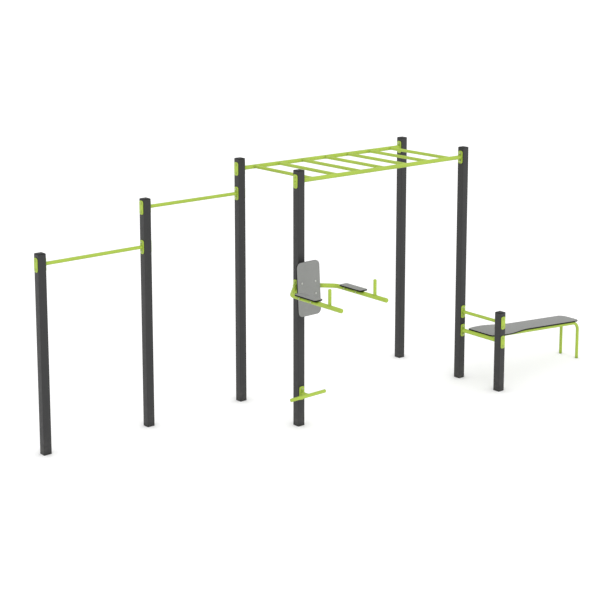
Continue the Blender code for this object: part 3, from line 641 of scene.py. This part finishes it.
def start_tube(radius, place, rotation=(0, 0, 0)):
    """An open ring to draw a bent tube from, left in edit mode."""
    bpy.ops.object.select_all(action="DESELECT")
    bpy.ops.mesh.primitive_circle_add(
        vertices=TUBE_SIDES, radius=radius, fill_type="NOTHING", location=place, rotation=rotation
    )
    piece = apply_place(bpy.context.object)
    edit(piece)
    bpy.ops.mesh.select_mode(type="EDGE")
    bpy.ops.mesh.select_all(action="SELECT")
    return piece


def draw(direction, length):
    bpy.ops.mesh.extrude_region_move(TRANSFORM_OT_translate={"value": direction * length})


def rounded_end(test, size):
    """Closes a tube's end and rounds it over."""
    select("EDGE", test)
    bpy.ops.mesh.edge_face_add()
    bpy.ops.mesh.bevel(offset=size, segments=6, affect="EDGES")


def make_arm(node, side, carries_bolts):
    """A tube bent out from the post's side and cut to its bolted plate, with a rounded tip."""
    height = middle(node).z
    post = at_post(4, height)
    x = side * ARM_SPREAD
    turn = (ARM_SPREAD - PLATE_FACE) / math.tan(ARM_SPLAY)
    tangent = ARM_BEND * math.tan(ARM_SPLAY / 2)
    arm = start_tube(RAIL_RADIUS, (x, -ARM_REACH, 0), (math.pi / 2, 0, 0))
    draw(SIDES["+Y"], ARM_REACH - turn - tangent)
    bpy.ops.mesh.spin(
        steps=12, angle=-side * ARM_SPLAY, center=(x - side * ARM_BEND, -turn - tangent, 0), axis=(0, 0, 1)
    )
    draw(Vector((-side, 1, 0)).normalized(), turn / math.cos(ARM_SPLAY))
    bpy.ops.mesh.select_all(action="SELECT")
    bpy.ops.mesh.remove_doubles(threshold=0.00001)
    bpy.ops.mesh.select_all(action="SELECT")
    bpy.ops.mesh.bisect(
        plane_co=(side * (PLATE_FACE - WELD_OVERLAP), 0, 0), plane_no=(side, 0, 0), use_fill=True, clear_inner=True
    )
    rounded_end(lambda edge: max(vert.co.y for vert in edge.verts) < -ARM_REACH + 0.0001, 0.011)
    bpy.ops.mesh.select_all(action="SELECT")
    bpy.ops.mesh.normals_make_consistent(inside=False)
    leave_edit()
    bead = weld_bead(RAIL_RADIUS, 0.003, 1 / math.cos(ARM_SPLAY))
    outward = Vector((side, 0, 0))
    placed(bead, facing(outward * (PLATE_FACE + BEAD_RISE), outward) @ Matrix.Rotation(math.pi / 2, 4, "Z"))
    flange = copied(plate, facing(outward * SEAT, outward))
    arm = smooth(joined(arm, flange, bead))
    keep(placed(arm, Matrix.Translation(post)), f"{node}_tube", lime, "lime_paint", node)
    pair = copied(bolts if carries_bolts else nuts, facing(post + outward * PLATE_FACE, outward))
    keep(pair, f"{node}_fixings", bolt_lime if carries_bolts else pale_zinc, "bolt_steel")


def make_grips():
    """Each grip stands on its arm and is welded all round."""
    arm_height = middle("dip_arm_1").z
    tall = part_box("grip_1")[1].z - arm_height
    grip = ease_edges(cylinder(GRIP_RADIUS, 0, tall), 0.0075, 6, top_edge(tall))
    cut(grip, cross_bar(RAIL_RADIUS + GAP, SIDES["+Y"]))
    bead = weld_bead(GRIP_RADIUS, SMALL_BEAD, on_radius=RAIL_RADIUS, across=0)
    placed(bead, Matrix.Translation(RAIL_RADIUS * UP))
    grip = smooth(joined(grip, bead))
    for node in ("grip_1", "grip_2"):
        place = middle(node)
        copy = copied(grip, Matrix.Translation((place.x, place.y, arm_height)))
        keep(copy, f"{node}_tube", lime, "lime_paint", node)
    bpy.data.objects.remove(grip, do_unlink=True)


def paint_edges(piece, normal):
    """Gives a board its dark cut edge: every face that doesn't lie along the board."""
    piece.data.materials.clear()
    piece.data.materials.append(grey)
    piece.data.materials.append(dark_edge)
    edit(piece)
    select("FACE", lambda face: abs(face.normal.dot(normal)) <= 0.99)
    piece.active_material_index = 1
    bpy.ops.object.material_slot_assign()
    leave_edit()


def flat_board(width, length, corner):
    """A board lying on Z = 0 with round corners and eased, dark edges."""
    board = block((width, length, BOARD), (0, 0, BOARD / 2))
    round_corners(board, corner, 12)
    ease_edges(board, BOARD_EASE, 3)
    paint_edges(board, UP)
    return smooth(board)


def make_arm_pads():
    pad = flat_board(0.100, 0.302, 0.022)
    for node in ("arm_pad_1", "arm_pad_2"):
        place = middle(node)
        copy = copied(pad, Matrix.Translation((place.x, place.y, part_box(node)[0].z)))
        keep(copy, f"{node}_board", None, "board", node)
    bpy.data.objects.remove(pad, do_unlink=True)


def make_saddles():
    """A folded strip over the arm, with a cross bolt on one side and its nut on the other."""
    seat = RAIL_RADIUS + GAP
    thick, width, drop = 0.003, 0.036, 0.011
    top = block((0.084, width, thick), (0, 0, seat + thick / 2))
    round_corners(top, 0.006, 5)
    ears = [
        block((thick, width, seat + drop), (side * (seat + thick / 2), 0, (seat - drop) / 2)) for side in (-1, 1)
    ]
    for ear in ears:
        edit(ear)
        select("EDGE", lambda edge: runs_along(edge, SIDES["+X"]) and edge.verts[0].co.z < 0)
        bpy.ops.mesh.bevel(offset=0.010, segments=6, affect="EDGES")
        leave_edit()
    saddle = smooth(ease_edges(joined(top, *ears), 0.0005, 1))
    head = domed_head(0.0075, 0, 0.005, 0.0034, 0.003, 0.0025)
    nut = ease_edges(cylinder(0.0075, 0, 0.005, 6), 0.0005, 1)
    fixings = joined(
        placed(smooth(head), facing(SIDES["+X"] * (seat + thick), SIDES["+X"])),
        placed(smooth(nut), facing(SIDES["-X"] * (seat + thick), SIDES["-X"])),
    )
    arm_height = middle("dip_arm_1").z
    for number in range(1, 5):
        node = f"pad_saddle_{number}"
        place = Vector((middle(node).x, middle(node).y, arm_height))
        on_arm = Matrix.Translation(place)
        half_turn = Matrix.Rotation(math.pi, 4, "Z")
        strip = copied(saddle, on_arm if number > 2 else on_arm @ half_turn)
        keep(strip, f"{node}_strip", lime, "lime_paint", node)
        keep(copied(fixings, on_arm @ half_turn), f"{node}_bolt", steel, "bolt_steel")
    for pattern in (saddle, fixings):
        bpy.data.objects.remove(pattern, do_unlink=True)


def make_backrest():
    """A leaning board with four bolts."""
    board = flat_board(0.280, 0.520, 0.050)
    bolt_x, bolt_y = 0.0835, 0.058
    back = at_post(4, middle("backrest_bracket").z) + SIDES["-Y"] * BACKREST_REACH
    lean = Vector((0, -math.cos(BACKREST_LEAN), math.sin(BACKREST_LEAN)))
    matrix = facing(back, lean)
    fixings = []
    for x in (-bolt_x, bolt_x):
        for y in (-bolt_y, bolt_y):
            pieces = washer(0.0014), domed_head(0.0088, 0.0014, 0.0062, 0.0034, KEY_RADIUS, 0.0036)
            fixings += [placed(smooth(piece), Matrix.Translation((x, y, BOARD))) for piece in pieces]
    keep(placed(board, matrix), "backrest_board", None, "board", "backrest")
    keep(placed(joined(*fixings), matrix), "backrest_bolts", steel, "bolt_steel")


def make_bracket():
    """A plate on the post, two cheeks, and a leaning face plate behind the backrest."""
    post = at_post(4, middle("backrest_bracket").z)
    out = SIDES["-Y"]
    foot = copied(tall_plate, facing(out * SEAT, out))
    face_out = Vector((0, -math.cos(BACKREST_LEAN), math.sin(BACKREST_LEAN)))
    face_sheet = 0.006
    face = block((0.206, 0.156, face_sheet), (0, 0, -GAP - face_sheet / 2))
    round_corners(face, PLATE_CORNER, 10)
    smooth(ease_edges(face, PLATE_EASE, 2))
    placed(face, facing(out * BACKREST_REACH, face_out))
    parts = [foot, face]
    reach = BACKREST_REACH - face_sheet - GAP
    for x in (-0.023, 0.023):
        cheek = block((0.005, reach - PLATE_FACE + 2 * WELD_OVERLAP, 0.110), (x, -(reach + PLATE_FACE) / 2, 0))
        edit(cheek)
        for upper, shift in ((True, 0.0035), (False, -0.0030)):
            select("VERT", lambda vert: vert.co.y < -0.1 and (vert.co.z > 0) == upper)
            bpy.ops.transform.translate(value=(0, shift, 0))
        leave_edit()
        parts.append(ease_edges(cheek, 0.0006, 1))
    bracket = smooth(joined(*parts))
    keep(placed(bracket, Matrix.Translation(post)), "backrest_bracket_frame", lime, "lime_paint", "backrest_bracket")
    pair = copied(tall_nuts, facing(post + out * PLATE_FACE, out))
    keep(pair, "backrest_bracket_nuts", pale_zinc, "bolt_steel")


def make_step():
    """A cross bar on a stub, shaped to the bar and welded to its bolted plate."""
    low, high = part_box("foot_step")
    post = at_post(4, middle("step_plate").z)
    out = SIDES["-Y"]
    reach = 0.140
    half = (high.x - low.x) / 2
    bar = cylinder(BAR_RADIUS, -half, half, axis=SIDES["+X"])
    ease_edges(bar, 0.0085, 6)
    placed(bar, Matrix.Translation(out * reach))
    stub = cylinder(BAR_RADIUS, PLATE_FACE - WELD_OVERLAP, reach, axis=out)
    cut(stub, cross_bar(BAR_RADIUS - 0.0002, SIDES["+X"], out * reach))
    flange = copied(plate, facing(out * SEAT, out))
    foot_bead = placed(weld_bead(BAR_RADIUS), facing(out * (PLATE_FACE + BEAD_RISE), out))
    cross_bead = weld_bead(BAR_RADIUS, SMALL_BEAD, on_radius=BAR_RADIUS * 1.02, across=1)
    placed(cross_bead, facing(out * (reach - BAR_RADIUS), -out))
    step = smooth(joined(bar, stub, flange, foot_bead, cross_bead))
    keep(placed(step, Matrix.Translation(post)), "foot_step_tube", lime, "lime_paint", "foot_step")
    pair = copied(nuts, facing(post + out * PLATE_FACE, out))
    keep(pair, "foot_step_nuts", pale_zinc, "bolt_steel")


# Sit-up bench


along_bench = Vector((math.cos(BENCH_SLOPE), 0, -math.sin(BENCH_SLOPE)))
up_bench = Vector((math.sin(BENCH_SLOPE), 0, math.cos(BENCH_SLOPE)))
bench_bar = middle("bench_bar")
bench_start = bench_bar + up_bench * (RAIL_RADIUS + GAP)


def bench_half_width(place):
    """Half the bench's width at a place along it: widest under the hips, narrow from the waist on."""
    start_width, hip_width, back_width = 0.344, 0.404, 0.265
    hips, waist = 0.230, 0.640
    if place < hips:
        return (start_width + (hip_width - start_width) * math.sin(math.pi / 2 * place / hips)) / 2
    if place > waist:
        return back_width / 2
    fall = (place - hips) / (waist - hips)
    return (back_width + (hip_width - back_width) * (1 + math.cos(math.pi * fall)) / 2) / 2


def make_bench_board():
    """Drawn out row by row to its outline, with round corners and a crowned far end."""
    first_row, last_row, steps = 0.036, 0.660, 26
    start_corner, far_corner = 0.030, 0.060
    shoulder = BENCH_LENGTH - BENCH_CROWN
    crowned_from = shoulder - far_corner + 0.001
    rows = [first_row + (last_row - first_row) * step / steps for step in range(steps + 1)] + [shoulder]
    half = bench_half_width(0)
    board = block((rows[0], 2 * half, BOARD), (rows[0] / 2, 0, BOARD / 2))
    edit(board)
    for place, following in zip(rows, rows[1:] + [None]):
        select("FACE", lambda face: face.normal.x > 0.9 and face.calc_center_median().x > place - 0.001)
        wider = bench_half_width(place) / half
        bpy.ops.transform.resize(value=(1, wider, 1), center_override=(0, 0, 0))
        half = bench_half_width(place)
        if following:
            bpy.ops.mesh.extrude_region_move(TRANSFORM_OT_translate={"value": (following - place, 0, 0)})
    for place, corner in ((0, start_corner), (shoulder, far_corner)):
        select("EDGE", lambda edge: runs_along(edge, UP) and abs(edge.verts[0].co.x - place) < 0.001)
        bpy.ops.mesh.bevel(offset=corner, segments=12, affect="EDGES")
    select("EDGE", lambda edge: runs_along(edge, SIDES["+Y"]) and edge.verts[0].co.x > shoulder - 0.001)
    bpy.ops.mesh.subdivide(number_cuts=11)
    far_end = [vert.co for vert in bmesh.from_edit_mesh(board.data).verts if vert.co.x > crowned_from]
    for reach in sorted({round(abs(place.y), 5) for place in far_end}):
        select("VERT", lambda vert: vert.co.x > crowned_from and abs(abs(vert.co.y) - reach) < 0.00002)
        bpy.ops.transform.translate(value=(BENCH_CROWN * (1 - (reach / half) ** 2), 0, 0))
    leave_edit()
    ease_edges(board, BOARD_EASE, 3)
    paint_edges(board, UP)
    smooth(board)
    matrix = Matrix.Translation(bench_start) @ Matrix.Rotation(BENCH_SLOPE, 4, "Y")
    keep(placed(board, matrix), "bench_top_board", None, "board", "bench_board")


def make_bench_legs():
    """Each rail rests on the bench bar, runs under the board and bends down into its leg."""
    lift = RAIL_RADIUS - BAR_RADIUS
    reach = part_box("bench_leg_1")[1].x - BAR_RADIUS - bench_bar.x
    start = bench_bar + up_bench * lift
    run = (reach - lift * up_bench.x) / along_bench.x
    corner = start + along_bench * run
    turn = math.pi / 2 - BENCH_SLOPE
    tangent = BENCH_LEG_BEND * math.tan(turn / 2)
    foot_x = bench_bar.x + reach
    for number, y in enumerate((-BENCH_RAIL_SPREAD / 2, BENCH_RAIL_SPREAD / 2), 1):
        across = bench_bar.y + y
        leg = start_tube(BAR_RADIUS, (foot_x, across, 0))
        draw(UP, corner.z - tangent)
        bpy.ops.mesh.spin(
            steps=20, angle=turn, center=(foot_x - BENCH_LEG_BEND, across, corner.z - tangent), axis=(0, 1, 0)
        )
        draw(-along_bench, run - tangent)
        bpy.ops.mesh.select_all(action="SELECT")
        bpy.ops.mesh.remove_doubles(threshold=0.00001)
        bpy.ops.mesh.normals_make_consistent(inside=False)
        leave_edit()
        modify(leg, "SOLIDIFY", thickness=TUBE_WALL, offset=-1, use_rim=True)
        cut(leg, cross_bar(RAIL_RADIUS + GAP, SIDES["+Y"], (bench_bar.x, across, bench_bar.z)))
        keep(smooth(leg), f"bench_leg_{number}_tube", lime, "lime_paint", f"bench_leg_{number}")


def make_straps():
    """Flat straps between the bench rails, each with two screws up into the board."""
    sheet = 0.005
    strap = block((0.040, BENCH_RAIL_SPREAD - BAR_RADIUS * 1.2, sheet), (0, 0, sheet / 2))
    ease_edges(strap, 0.0006, 1)
    rails = (-BENCH_RAIL_SPREAD / 2, BENCH_RAIL_SPREAD / 2)
    cut(strap, *(cross_bar(BAR_RADIUS + GAP, SIDES["+X"], (0, y, sheet - BAR_RADIUS)) for y in rails))
    smooth(strap)
    screws = []
    for y in (-0.06, 0.06):
        head = cylinder(0.007, -0.0035, 0, 24)
        ease_edges(head, 0.0022, 4, lambda edge: is_sharp(edge) and max(vert.co.z for vert in edge.verts) < -0.003)
        screws.append(placed(smooth(head), Matrix.Translation((0, y, 0))))
    screws = joined(*screws)
    for number, place in enumerate(STRAP_PLACES, 1):
        spot = bench_start + along_bench * place - up_bench * (GAP + sheet)
        matrix = Matrix.Translation(spot) @ Matrix.Rotation(BENCH_SLOPE, 4, "Y")
        keep(copied(strap, matrix), f"bench_strap_{number}_flat", lime, "lime_paint", f"bench_strap_{number}")
        keep(copied(screws, matrix), f"bench_strap_{number}_screws", steel, "bolt_steel")
    for pattern in (strap, screws):
        bpy.data.objects.remove(pattern, do_unlink=True)


# Floor, light and camera


def make_floor():
    """A pale floor that looks a little brighter than the light it throws back, with a painted contact shadow round
    the feet.
    """
    thrown, shown = 0.03, 0.16
    bpy.ops.object.select_all(action="DESELECT")
    bpy.ops.mesh.primitive_plane_add(size=400, location=(0, 0, -0.0005))
    floor = apply_place(bpy.context.object)
    floor.name = "floor"
    finish, tree, shader = new_finish("pale_floor", Roughness=0.9)
    shader.inputs["Specular IOR Level"].default_value = 0.1
    shader.inputs["Emission Color"].default_value = (1, 1, 1, 1)
    path = add(tree, "ShaderNodeLightPath")
    glow = ranged(tree, path, "Is Camera Ray", thrown, shown)
    tree.links.new(glow.outputs["Result"], shader.inputs["Emission Strength"])
    place = surface_place(tree)
    clouds = noise(tree, place, 0.6, 3.0)
    shade = ranged(tree, clouds, "Fac", 0.985, 1.0)
    tinted = mixed(tree, "MULTIPLY", 1.0, (0.95, 0.95, 0.95, 1), (shade, "Result"))
    # Painted shadow: the floor's colour darkens where ambient occlusion finds the feet and the parts just above it.
    foot_occlusion = add(tree, "ShaderNodeAmbientOcclusion", Distance=0.12, samples=8)
    painted_contact_shadow = ranged(tree, foot_occlusion, "AO", 0.72, 1.0, 0.4, 1.0)
    shaded = mixed(tree, "MULTIPLY", 1.0, (tinted, 2), (painted_contact_shadow, "Result"))
    tree.links.new(shaded.outputs[2], shader.inputs["Base Color"])
    floor.data.materials.append(finish)


def make_light():
    """An even white studio with a soft lamp high up behind the camera."""
    world = bpy.data.worlds.new("studio")
    bpy.context.scene.world = world
    world.use_nodes = True
    tree = world.node_tree
    background = tree.nodes["Background"]
    background.inputs["Color"].default_value = (1, 1, 1, 1)
    background.inputs["Strength"].default_value = 1.0
    seen = add(tree, "ShaderNodeBackground", Color=(1, 1, 1, 1), Strength=1.1)
    path = add(tree, "ShaderNodeLightPath")
    both = tree.nodes.new("ShaderNodeMixShader")
    tree.links.new(path.outputs["Is Camera Ray"], both.inputs[0])
    tree.links.new(background.outputs[0], both.inputs[1])
    tree.links.new(seen.outputs[0], both.inputs[2])
    tree.links.new(both.outputs[0], tree.nodes["World Output"].inputs["Surface"])
    sun = bpy.data.lights.new("overhead_softbox", "SUN")
    sun.energy = 0.5
    sun.angle = math.radians(60)
    lamp = bpy.data.objects.new("overhead_softbox", sun)
    bpy.context.scene.collection.objects.link(lamp)
    shines_to = Vector((0.15, 0.9, -0.5))
    lamp.rotation_euler = shines_to.to_track_quat("-Z", "Y").to_euler()


def make_camera():
    """At the photograph's place, pitched down a little so that other views keep the object in the picture."""
    pitch, heading = 8.83, -39.89
    lens = bpy.data.cameras.new("camera")
    lens.lens = 79.2
    lens.sensor_width = 36
    lens.shift_y = -0.25
    lens.clip_end = 1000
    camera = bpy.data.objects.new("camera", lens)
    bpy.context.scene.collection.objects.link(camera)
    camera.location = (-8.589, -9.430, 4.605)
    camera.rotation_euler = (math.radians(90 - pitch), 0, math.radians(heading))
    bpy.context.scene.camera = camera
    bpy.context.scene.view_settings.view_transform = "Standard"


make_posts()
make_caps()
make_backing_plates()
for bar_node, bar_radius in (
    ("pull_up_bar_low", BAR_RADIUS), ("pull_up_bar_high", BAR_RADIUS), ("ladder_rail_rear", RAIL_RADIUS),
    ("ladder_rail_front", RAIL_RADIUS), ("ankle_bar", BAR_RADIUS), ("bench_bar", RAIL_RADIUS),
):
    make_bar(bar_node, bar_radius)
make_rungs()
make_arm("dip_arm_1", -1, True)
make_arm("dip_arm_2", 1, False)
make_grips()
make_arm_pads()
make_saddles()
make_backrest()
make_bracket()
make_step()
make_bench_board()
make_bench_legs()
make_straps()
for pattern in patterns:
    bpy.data.objects.remove(pattern, do_unlink=True)
make_floor()
make_light()
make_camera()
